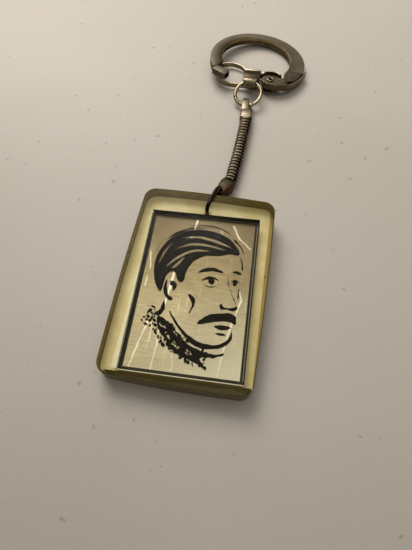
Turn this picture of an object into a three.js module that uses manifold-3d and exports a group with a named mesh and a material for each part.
// A souvenir keychain lying on a table: an acrylic fob with a framed brass picture,
// a wire loop, a square snake chain between two end caps, a jump ring, and a C-shaped
// key ring that is closed by a riveted sheet-metal gate.
// Millimetres. +Z is up, the table is z = 0, +Y runs from the fob towards the key ring.
import * as THREE from 'three';
import { mergeVertices } from 'three/addons/utils/BufferGeometryUtils.js';
import Module from 'manifold-3d';

const wasm = await Module();
wasm.setup();

// ---------------------------------------------------------------- driving dimensions
const fob = { x: 0.15, width: 32.8, length: 47.3, thick: 5, corner: 2.8, bowSide: 0.3, bowEnd: 0.3, edge: 0.5 };
const fobTilt = 1.6;                  // degrees: the wire loop under the far end lifts it
const fobFront = -23.4;               // y of the near edge, which rests on the table
const plate = { width: 26, length: 38.8, thick: 0.4, x: 0.61, y: -2.1, turn: 2 };
const recess = { side: 0.2, depth: 2 };
const layerGap = 0.1;                 // clearance between the sheets in the recess
const paneTop = 0.1;                  // the pane sits this far below the fob's face
const hole = { x: -0.15, y: 19.05, radius: 1.15 };

const loop = { wire: 1, flat: 4, length: 8.35, turn: -14, corner: 1.3, faceGap: 0.12, eyeDrop: 1.3, post: 0.9 };
const capEye = 0.9;                   // radius of the eye in each end cap
const lowerCap = { x: 3.05, y: 29.7, z: 2.1, mouth: 3.6, end: 2.5, height: 2.5 };
const upperCap = { x: 4.62, y: 61.65, z: 1.55, mouth: 3.6, end: 2.4, height: 2.6 };

const link = { count: 22, pitch: 1.08, gap: 0.16, dome: 2.4, reach: 1.68, notch: 1.38 };
const chainHeading = { first: -9, last: -1.6, settle: 4 };   // degrees; links 1 to 4 come down to level
const domeSag = 0.1;                  // the cap's dome is a true sphere, the links' are faceted

const jump = { radius: 3.85, wire: 1, x: 4.35, y: 65.2, z: 2.85, pitch: 20, roll: -6 };

const ring = { x: 5.3, y: 80.1, z: 1.62, outer: 14.8, inner: 10.9, thick: 2.1 };
const ringTilt = { x: -4.3, y: 4.5 }; // degrees: the near side is propped up
const innerShift = { x: -0.45, y: 0.9 };
const lug = { x: 4.8, y: -9.1, halfLength: 2.5, halfWidth: 2.3, top: 1.85, edgeX: 9, edgeY: -5.9 };
const tongue = { tipX: -8.35, tipY: -9.2, halfWidth: 1.35, turn: -27, wall: 0.4, hollow: 1 };
const pin = { x: 9.25, y: -8.35, radius: 0.32, depth: 0.9 };      // the small hole where lug and band meet
const skirt = { sheet: 0.4, top: 1.85, foot: 1.1, footTop: 1.2, groove: 0.22 };
const seam = { height: 0.25, depth: 0.5, inner: 1.2, outer: 1.6 };
const rivet = { shank: 0.6, head: 1.15, headThick: 0.35, foot: 1, footThick: 0.25, clearance: 0.12,
  play: 0.08, bottom: -1.45 };

const gate = { bottom: 0.5, top: 1.95, wall: 0.6, lowTop: 1.1, lobeTop: 2.6, floorZ: 0.65, floor: 0.5, eye: 1.9 };
const hem = { y: 68.58, z: 4.05, outer: 1.32, bore: 1.02, from: 2.45, to: 6.15 };
const saddle = { from: 2, to: 7.1, sheet: 0.45 };

const rad = THREE.MathUtils.degToRad;

// ---------------------------------------------------------------- solids and booleans
function solid(geometry) {
  const g = geometry.clone();
  g.deleteAttribute('normal');
  g.deleteAttribute('uv');
  const merged = mergeVertices(g, 1e-4);
  return new wasm.Manifold(new wasm.Mesh({
    numProp: 3,
    vertProperties: new Float32Array(merged.attributes.position.array),
    triVerts: new Uint32Array(merged.index.array),
  }));
}

function geometryOf(manifold) {
  const mesh = manifold.getMesh();
  const g = new THREE.BufferGeometry();
  g.setAttribute('position', new THREE.BufferAttribute(new Float32Array(mesh.vertProperties), 3));
  g.setIndex(new THREE.BufferAttribute(new Uint32Array(mesh.triVerts), 1));
  g.computeVertexNormals();
  return g;
}

function metal(color, roughness = 0.4) {
  return new THREE.MeshStandardMaterial({ color, roughness, metalness: 1 });
}

function meshOf(name, shape, material) {
  const geometry = shape.isBufferGeometry ? shape : geometryOf(shape);
  const mesh = new THREE.Mesh(geometry, material);
  mesh.name = name;
  return mesh;
}

// the points of a path without neighbours that fall on top of each other
function distinct(points) {
  return points.filter((p, i) => p.distanceTo(points[(i + points.length - 1) % points.length]) > 1e-3);
}

function extrude(shape, depth, options = {}) {
  const { curveSegments = 10 } = options;
  const clean = new THREE.Shape(distinct(shape.getPoints(curveSegments)));
  for (const h of shape.holes) clean.holes.push(new THREE.Path(distinct(h.getPoints(curveSegments))));
  return new THREE.ExtrudeGeometry(clean, { depth, bevelEnabled: false, ...options });
}

function box(x0, x1, y0, y1, z0, z1) {
  const g = new THREE.BoxGeometry(x1 - x0, y1 - y0, z1 - z0);
  return solid(g.translate((x0 + x1) / 2, (y0 + y1) / 2, (z0 + z1) / 2));
}

// a cylinder whose axis is 'x', 'y' or 'z'
function rod(axis, radius, length, x, y, z, sides = 24) {
  const g = new THREE.CylinderGeometry(radius, radius, length, sides);
  if (axis === 'x') g.rotateZ(Math.PI / 2);
  if (axis === 'z') g.rotateX(Math.PI / 2);
  return solid(g.translate(x, y, z));
}

// ---------------------------------------------------------------- the fob
// a rectangle with rounded corners whose sides bow outwards
function bowedOutline(width, length, radius, bowSide, bowEnd) {
  const x = width / 2 - bowSide;
  const y = length / 2 - bowEnd;
  const s = new THREE.Shape();
  s.moveTo(-x + radius, -y);
  s.quadraticCurveTo(0, -y - 2 * bowEnd, x - radius, -y);
  s.absarc(x - radius, -y + radius, radius, -Math.PI / 2, 0);
  s.quadraticCurveTo(x + 2 * bowSide, 0, x, y - radius);
  s.absarc(x - radius, y - radius, radius, 0, Math.PI / 2);
  s.quadraticCurveTo(0, y + 2 * bowEnd, -x + radius, y);
  s.absarc(-x + radius, y - radius, radius, Math.PI / 2, Math.PI);
  s.quadraticCurveTo(-x - 2 * bowSide, 0, -x, -y + radius);
  s.absarc(-x + radius, -y + radius, radius, Math.PI, 1.5 * Math.PI);
  return s;
}

function sheetIn(width, length, z0, z1) {
  const s = new THREE.Shape();
  s.moveTo(-width / 2, -length / 2);
  s.lineTo(width / 2, -length / 2);
  s.lineTo(width / 2, length / 2);
  s.lineTo(-width / 2, length / 2);
  const g = extrude(s, z1 - z0).translate(0, 0, z0);
  return g.rotateZ(rad(plate.turn)).translate(plate.x, plate.y, 0);
}

const recessFloor = fob.thick - recess.depth;
const plateTop = recessFloor + layerGap + plate.thick;

function fobBlock() {
  const outline = bowedOutline(fob.width - 2 * fob.edge, fob.length - 2 * fob.edge,
    fob.corner - fob.edge, fob.bowSide, fob.bowEnd);
  const body = solid(extrude(outline, fob.thick - 2 * fob.edge, {
    bevelEnabled: true, bevelThickness: fob.edge, bevelSize: fob.edge, bevelSegments: 3, curveSegments: 8,
  }).translate(0, 0, fob.edge));
  const pocket = solid(sheetIn(plate.width + 2 * recess.side, plate.length + 2 * recess.side,
    recessFloor, fob.thick + 1));
  const bore = rod('z', hole.radius, fob.thick + 2, hole.x, hole.y, fob.thick / 2, 28);
  return body.subtract(pocket).subtract(bore);
}

// the block, plate and pane share one frame that is tilted about the block's front edge
function fobGroup() {
  const lift = new THREE.Group();
  lift.position.y = fobFront;
  lift.rotation.x = rad(fobTilt);
  const g = new THREE.Group();
  g.position.set(fob.x, fob.length / 2, 0);
  lift.add(g);
  const acrylic = new THREE.MeshStandardMaterial({ color: 0xb9a560, roughness: 0.12, metalness: 0 });
  const clear = new THREE.MeshStandardMaterial({ color: 0xe6dfb4, roughness: 0.08, metalness: 0 });
  g.add(meshOf('fob_block', fobBlock(), acrylic));
  g.add(meshOf('picture_plate',
    sheetIn(plate.width, plate.length, recessFloor + layerGap, plateTop), metal(0xc9b07a, 0.35)));
  g.add(meshOf('cover_pane',
    sheetIn(plate.width, plate.length, plateTop + layerGap, fob.thick - paneTop), clear));
  g.add(meshOf('fob_loop', fobLoop(), metal(0x2a1f18, 0.55)));
  return lift;
}

// ---------------------------------------------------------------- the wire loop
// a closed wire swept round a closed path, without end caps
function closedWire(points, radius, sides = 10) {
  const n = points.length;
  const position = [];
  const index = [];
  const up = new THREE.Vector3();
  const out = new THREE.Vector3();
  const normal = new THREE.Vector3(1, 0, 0);      // the path lies in the YZ plane
  for (let i = 0; i < n; i++) {
    const before = points[(i + n - 1) % n];
    const after = points[(i + 1) % n];
    const tangent = after.clone().sub(before).normalize();
    out.crossVectors(tangent, normal).normalize();
    for (let k = 0; k < sides; k++) {
      const a = (k / sides) * 2 * Math.PI;
      up.copy(points[i]).addScaledVector(out, radius * Math.cos(a)).addScaledVector(normal, radius * Math.sin(a));
      position.push(up.x, up.y, up.z);
      const j = (i + 1) % n;
      const l = (k + 1) % sides;
      index.push(i * sides + k, j * sides + k, j * sides + l);
      index.push(i * sides + k, j * sides + l, i * sides + l);
    }
  }
  const g = new THREE.BufferGeometry();
  g.setAttribute('position', new THREE.Float32BufferAttribute(position, 3));
  g.setIndex(index);
  g.computeVertexNormals();
  return g;
}

const loopHalf = fob.thick / 2 + loop.faceGap + loop.wire / 2;

// Up through the hole, flat over the far edge, down to the post that carries the end cap,
// and back underneath.
function fobLoop() {
  const half = loopHalf;
  const { corner: r, length: end, flat, eyeDrop, post } = loop;
  const outline = new THREE.Path();
  outline.moveTo(0, half - r);
  outline.absarc(r, half - r, r, Math.PI, Math.PI / 2, true);
  outline.lineTo(flat, half);
  outline.bezierCurveTo(flat + 1.6, half, end, half - 0.8, end, post - eyeDrop);
  outline.lineTo(end, -post - eyeDrop);
  outline.bezierCurveTo(end, -half, end - 0.6, -half, end - 1.6, -half);
  outline.lineTo(r, -half);
  outline.absarc(r, -half + r, r, -Math.PI / 2, -Math.PI, true);
  outline.closePath();
  const points = outline.getSpacedPoints(48).slice(0, -1).map((p) => new THREE.Vector3(0, p.x, p.y));
  const g = closedWire(points, loop.wire / 2);
  return g.rotateZ(rad(loop.turn)).translate(hole.x, hole.y, fob.thick / 2);
}

// ---------------------------------------------------------------- the snake chain
// section radius of a square chain with four bulged faces and a notch at each corner
const sectionAngles = [0, 15, 28, 38, 45, 52, 62, 75];
function sectionRadius(degrees) {
  const fromFace = Math.abs(((degrees + 45) % 90) - 45);
  if (fromFace > 40) return link.notch;
  if (fromFace > 33) return (link.notch + link.reach * 1.06) / 2;
  return (link.reach * (1 - 0.02 * Math.cos(rad(fromFace * 3)))) / Math.cos(rad(fromFace * 0.75));
}

// A link is a thin domed cup. Its dome is a cap of a sphere round its own origin, and its
// hollow is a cap of a slightly larger sphere round the previous link's origin. +Y is ahead.
function linkGeometry() {
  const section = [];
  for (let quarter = 0; quarter < 4; quarter++) {
    for (const a of sectionAngles) section.push(a + quarter * 90);
  }
  const n = section.length;
  const front = [];
  const back = [];
  const hollow = link.dome + link.gap;
  for (const degrees of section) {
    const r = sectionRadius(degrees);
    const x = r * Math.cos(rad(degrees));
    const z = r * Math.sin(rad(degrees));
    front.push([x, Math.sqrt(link.dome ** 2 - r * r), z]);
    back.push([x, Math.sqrt(hollow ** 2 - r * r) - link.pitch, z]);
  }
  const position = [...front, ...back, [0, link.dome, 0], [0, hollow - link.pitch, 0]].flat();
  const index = [];
  for (let i = 0; i < n; i++) {
    const j = (i + 1) % n;
    index.push(i, 2 * n, j);
    index.push(n + i, n + j, 2 * n + 1);
    index.push(i, j, n + j, i, n + j, n + i);
  }
  const g = new THREE.BufferGeometry();
  g.setAttribute('position', new THREE.Float32BufferAttribute(position, 3));
  g.setIndex(index);
  g.computeVertexNormals();
  return g;
}

const lowerEye = new THREE.Vector3();       // where the loop passes through the lower cap
{
  const s = loop.length;
  lowerEye.set(fob.x + hole.x - s * Math.sin(rad(loop.turn)), hole.y + s * Math.cos(rad(loop.turn)),
    fob.thick / 2 - loop.eyeDrop);
  lowerEye.y += fob.length / 2;
  lowerEye.applyAxisAngle(new THREE.Vector3(1, 0, 0), rad(fobTilt));
  lowerEye.y += fobFront;
}
const chainStart = new THREE.Vector3(lowerCap.x, lowerCap.y, lowerCap.z);
const upperEye = new THREE.Vector3(upperCap.x, upperCap.y, upperCap.z);

// turns +Y onto a direction, keeping the local X axis level
function facing(direction) {
  const y = direction.clone().normalize();
  const x = new THREE.Vector3().crossVectors(y, new THREE.Vector3(0, 0, 1)).normalize();
  const z = new THREE.Vector3().crossVectors(x, y);
  return new THREE.Quaternion().setFromRotationMatrix(new THREE.Matrix4().makeBasis(x, y, z));
}

// a level direction, in degrees from +Y
function heading(degrees) {
  return new THREE.Vector3(-Math.sin(rad(degrees)), Math.cos(rad(degrees)), 0);
}

// The chain leaves the lower cap in line with it, comes down level and straightens out.
const capDirection = chainStart.clone().sub(lowerEye).normalize();
const linkFrames = [];
{
  const { first, last, settle } = chainHeading;
  let centre = chainStart.clone();
  for (let i = 1; i <= link.count; i++) {
    const left = 1 - i / link.count;
    const level = heading(last + (first - last) * left * left);
    const direction = capDirection.clone().lerp(level, Math.min(1, i / settle)).normalize();
    centre = centre.clone().addScaledVector(direction, link.pitch);
    linkFrames.push({ centre, turn: facing(direction) });
  }
}

function chainLinks() {
  const geometry = linkGeometry();
  const finish = metal(0x7d7464, 0.38);
  return linkFrames.map(({ centre, turn }, i) => {
    const mesh = meshOf(`chain_link_${String(i + 1).padStart(2, '0')}`, geometry, finish);
    mesh.position.copy(centre);
    mesh.quaternion.copy(turn);
    return mesh;
  });
}

// ---------------------------------------------------------------- the end caps
// outline of a cap: a mouth of one width, tapering to a round end about the eye
function capOutline(mouth, end, mouthAt, eyeAt) {
  const s = new THREE.Shape();
  const m = mouth / 2;
  const e = end / 2;
  const span = eyeAt - mouthAt;
  s.moveTo(-m, mouthAt);
  s.lineTo(m, mouthAt);
  s.bezierCurveTo(m + 0.15, mouthAt + span * 0.35, e + 0.2, mouthAt + span * 0.5, e, eyeAt);
  s.absarc(0, eyeAt, e, 0, Math.PI);
  s.bezierCurveTo(-e - 0.2, mouthAt + span * 0.5, -m - 0.15, mouthAt + span * 0.35, -m, mouthAt);
  return s;
}

// a cap along +Y with its eye at the origin; the eye's axis is 'x' or 'z'
function capSolid(plan, side, depth, eyeAxis) {
  const top = solid(extrude(plan, depth).translate(0, 0, -depth / 2));
  const profile = extrude(side, depth).rotateY(Math.PI / 2).translate(-depth / 2, 0, 0);
  return top.intersect(solid(profile)).subtract(rod(eyeAxis, capEye, depth * 2, 0, 0, 0, 20));
}

function upperEndCap() {
  const last = linkFrames[link.count - 1].centre;
  const axis = upperEye.clone().sub(last);
  const toMouth = -axis.length() + link.dome * 0.45;
  const plan = capOutline(upperCap.mouth, upperCap.end, toMouth, 0);
  const side = capOutline(2 * link.reach - 0.1, upperCap.height, toMouth, 0);
  const sphere = solid(new THREE.SphereGeometry(link.dome + link.gap, 24, 16).translate(0, -axis.length(), 0));
  const cap = capSolid(plan, side, 6, 'x').subtract(sphere);
  const mesh = meshOf('upper_end_cap', cap, metal(0x8a8070, 0.32));
  mesh.position.copy(upperEye);
  mesh.quaternion.copy(facing(axis));
  return mesh;
}

function lowerEndCap() {
  const span = chainStart.distanceTo(lowerEye);
  const plan = capOutline(lowerCap.mouth, lowerCap.end, -(span + link.dome), 0);
  const side = capOutline(2 * link.reach, lowerCap.height, -(span + link.dome), 0);
  const dome = solid(new THREE.SphereGeometry(link.dome - domeSag, 24, 16).translate(0, -span, 0));
  const shank = box(-4, 4, -span, 4, -4, 4);
  const cap = capSolid(plan, side, 6, 'z').intersect(dome.add(shank));
  const mesh = meshOf('lower_end_cap', cap, metal(0x746c5e, 0.45));
  mesh.position.copy(lowerEye);
  mesh.quaternion.copy(facing(capDirection.clone().negate()));
  return mesh;
}

// ---------------------------------------------------------------- the jump ring
function jumpRing() {
  const g = new THREE.TorusGeometry(jump.radius, jump.wire / 2, 10, 44);
  const mesh = meshOf('jump_ring', g, metal(0xb8a88c, 0.25));
  mesh.position.set(jump.x, jump.y, jump.z);
  mesh.rotation.set(rad(jump.pitch), rad(jump.roll), 0);
  return mesh;
}

// ---------------------------------------------------------------- the key ring
// the flat C-shaped band: a round bow, a narrow tongue at one end, a riveted lug at the other
function ringOutline() {
  const s = new THREE.Shape();
  const at = (r, degrees, c = { x: 0, y: 0 }) => [c.x + r * Math.cos(rad(degrees)), c.y + r * Math.sin(rad(degrees))];
  s.moveTo(...at(ring.outer, 208));
  s.absarc(0, 0, ring.outer, rad(208), rad(-35), true);
  s.quadraticCurveTo(9.9, -11.35, 6.2, -11.4);
  s.lineTo(lug.x, lug.y - lug.halfWidth);
  s.absellipse(lug.x, lug.y, lug.halfLength, lug.halfWidth, -Math.PI / 2, -1.5 * Math.PI, true);
  s.quadraticCurveTo(7.2, -6.8, 8.3, -7.6);
  s.quadraticCurveTo(9.1, -6.4, ...at(ring.inner, -32, innerShift));
  s.absarc(innerShift.x, innerShift.y, ring.inner, rad(-32), rad(205), false);
  s.lineTo(-10.9, -5.9);
  const acrossX = -tongue.halfWidth * Math.sin(rad(tongue.turn));
  const acrossY = tongue.halfWidth * Math.cos(rad(tongue.turn));
  s.quadraticCurveTo(-9.8, -7.1, tongue.tipX + acrossX, tongue.tipY + acrossY);
  s.lineTo(tongue.tipX - acrossX, tongue.tipY - acrossY);
  s.quadraticCurveTo(-11.6, -9.1, -12.6, -7.4);
  return s;
}

// the rolled seam: a thin annular slot cut into the band's inner or outer wall
function seamCut(radius, centre, z) {
  const s = new THREE.Shape();
  s.absarc(centre.x, centre.y, radius + seam.depth, 0, 2 * Math.PI);
  const inside = new THREE.Path();
  inside.absarc(centre.x, centre.y, radius - seam.depth, 0, 2 * Math.PI, true);
  s.holes.push(inside);
  return solid(extrude(s, seam.height, { curveSegments: 40 }).translate(0, 0, z));
}

// the outer edge of the folded skirt, from the lug to the sharp corner that stands out on the right
const skirtLine = new THREE.CatmullRomCurve3([
  [6.9, -11.25], [9.7, -10.55], [12.3, -8.4], [14.2, -5.5], [15.45, -2.1],
].map(([x, y]) => new THREE.Vector3(x, y, 0)));

// a strip between two distances inside the skirt's outer edge
function skirtStrip(from, to, z0, z1, steps = 16) {
  const edge = (inset) => Array.from({ length: steps + 1 }, (_, i) => {
    const p = skirtLine.getPointAt(i / steps);
    const t = skirtLine.getTangentAt(i / steps);
    return new THREE.Vector2(p.x - t.y * inset, p.y + t.x * inset);
  });
  const s = new THREE.Shape([...edge(from), ...edge(to).reverse()]);
  return solid(extrude(s, z1 - z0).translate(0, 0, z0));
}

function keyRing() {
  const { sheet, foot, footTop, groove } = skirt;
  const flat = solid(extrude(ringOutline(), ring.thick, { curveSegments: 16 }));
  const step = box(-1, lug.edgeX, -13, lug.edgeY, lug.top, ring.thick + 1);
  const pinHole = rod('z', pin.radius, 2 * pin.depth, pin.x, pin.y, ring.thick, 12);
  const band = flat.subtract(step).subtract(skirtStrip(sheet, sheet + groove, footTop, ring.thick + 1))
    .add(skirtStrip(0, foot, 0, footTop)).add(skirtStrip(0, sheet, 0, skirt.top)).subtract(pinHole);
  const bore = rod('z', rivet.shank + rivet.clearance, 4, lug.x, lug.y, ring.thick / 2, 20);
  const mouth = new THREE.BoxGeometry(2 * tongue.hollow, 2 * (tongue.halfWidth - tongue.wall),
    ring.thick - 2 * tongue.wall);
  mouth.rotateZ(rad(tongue.turn)).translate(tongue.tipX, tongue.tipY, ring.thick / 2);
  return band.subtract(bore).subtract(solid(mouth))
    .subtract(seamCut(ring.inner, innerShift, seam.inner))
    .subtract(seamCut(ring.outer, { x: 0, y: 0 }, seam.outer));
}

// the rivet: a shank with a flared, dimpled head on the lug and a thin foot under the gate
function rivetShape() {
  const { shank, head, headThick, foot, footThick, bottom } = rivet;
  const top = lug.top + rivet.play;
  const profile = [[0, bottom - footThick], [foot, bottom - footThick], [foot, bottom], [shank, bottom],
    [shank, top], [head, top], [head, top + headThick * 0.6], [head * 0.75, top + headThick],
    [head * 0.45, top + headThick], [head * 0.3, top + headThick * 0.3], [0, top + headThick * 0.3]];
  const g = new THREE.LatheGeometry(profile.map(([r, z]) => new THREE.Vector2(r, z)), 20);
  return g.rotateX(Math.PI / 2).translate(lug.x, lug.y, 0);
}

function keyRingGroup() {
  const g = new THREE.Group();
  g.position.set(ring.x, ring.y, ring.z);
  g.rotation.set(rad(ringTilt.x), rad(ringTilt.y), 0);
  g.add(meshOf('key_ring_body', keyRing(), metal(0x6b6150, 0.42)));
  g.add(meshOf('gate_rivet', rivetShape(), metal(0x8f8470, 0.35)));
  return g;
}

// ---------------------------------------------------------------- the gate
// one long closed wall of sheet: a wide left lobe round the tongue, a right lobe under the lug
const gateLine = new THREE.CatmullRomCurve3([
  [-7.4, 76.6], [-5.6, 72.7], [-2.6, 70.8], [2, 70.65], [8, 70.65], [11.6, 70.75], [13.8, 73],
  [13.3, 75.3], [11.2, 76.7], [8.9, 76.7], [7, 75.7], [2.8, 77.2], [0.6, 79.2], [-2.6, 80.2], [-6, 79.2],
].map(([x, y]) => new THREE.Vector3(x, y, 0)), true, 'centripetal');

function wallLoop(curve, thickness, z0, z1, steps = 60) {
  const edge = (offset) => Array.from({ length: steps }, (_, i) => {
    const p = curve.getPointAt(i / steps);
    const t = curve.getTangentAt(i / steps);
    return new THREE.Vector2(p.x + t.y * offset, p.y - t.x * offset);
  });
  const s = new THREE.Shape(edge(thickness / 2));
  s.holes.push(new THREE.Path(edge(-thickness / 2).reverse()));
  return solid(extrude(s, z1 - z0).translate(0, 0, z0));
}

// sheet bent in the YZ plane and carried along X
function bentSheet(points, thickness, x0, x1) {
  let body = null;
  for (let i = 0; i + 1 < points.length; i++) {
    const [ya, za] = points[i];
    const [yb, zb] = points[i + 1];
    const run = Math.hypot(yb - ya, zb - za);
    const g = new THREE.BoxGeometry(x1 - x0, run, thickness);
    g.rotateX(Math.atan2(zb - za, yb - ya)).translate((x0 + x1) / 2, (ya + yb) / 2, (za + zb) / 2);
    const piece = solid(g).add(rod('x', thickness / 2, x1 - x0, (x0 + x1) / 2, ya, za, 12));
    body = body ? body.add(piece) : piece;
  }
  return body;
}

function gateLatch(pivot) {
  const tall = wallLoop(gateLine, gate.wall, gate.bottom, gate.lobeTop);
  const overLeft = box(-20, 7.6, 60, 90, gate.top, 9);
  const nearRight = box(7.5, 20, 60, 73.2, -1, 9);
  const overEnd = box(13, 20, 60, 90, gate.lowTop, 9);
  const walls = tall.subtract(overLeft).subtract(nearRight).subtract(overEnd);
  const floor = rod('z', gate.eye, gate.floor, pivot.x, pivot.y, gate.floorZ + gate.floor / 2, 28);
  const web = box(7.1, 12, 70.4, 76.6, gate.floorZ, gate.floorZ + gate.floor);
  const sheet = bentSheet([
    [76.5, gate.bottom + saddle.sheet / 2], [76.4, 2.9], [75.7, 3.1], [73.2, 2.8], [70.9, 3.5], [hem.y + 0.75, 4.6],
  ], saddle.sheet, saddle.from, saddle.to);
  const mid = (hem.from + hem.to) / 2;
  const long = hem.to - hem.from;
  const roll = rod('x', hem.outer, long, mid, hem.y, hem.z);
  const bore = rod('x', hem.bore, long * 2, mid, hem.y, hem.z);
  return walls.add(floor).add(web).add(sheet).add(roll).subtract(bore);
}

// the rivet's axis is square to the tilted key ring, and the gate's hole follows it
function gateMesh(ringGroup) {
  ringGroup.updateMatrixWorld(true);
  const pivot = new THREE.Vector3(lug.x, lug.y, -0.9).applyMatrix4(ringGroup.matrixWorld);
  const hub = new THREE.CylinderGeometry(rivet.shank + rivet.clearance, rivet.shank + rivet.clearance, 6, 20);
  hub.rotateX(Math.PI / 2).translate(lug.x, lug.y, 0).applyMatrix4(ringGroup.matrixWorld);
  return meshOf('gate_latch', gateLatch(pivot).subtract(solid(hub)), metal(0x7f7565, 0.33));
}

// ---------------------------------------------------------------- the keychain
const model = new THREE.Group();
model.add(fobGroup());
model.add(lowerEndCap(), ...chainLinks(), upperEndCap(), jumpRing());
const ringGroup = keyRingGroup();
model.add(gateMesh(ringGroup), ringGroup);

// the origin is the middle of the whole object's footprint, on the table
model.updateMatrixWorld(true);
const bounds = new THREE.Box3().setFromObject(model, true);
const middle = bounds.getCenter(new THREE.Vector3());
model.position.set(-middle.x, -middle.y, -bounds.min.z);
const group = new THREE.Group();
group.add(model);

export default group;
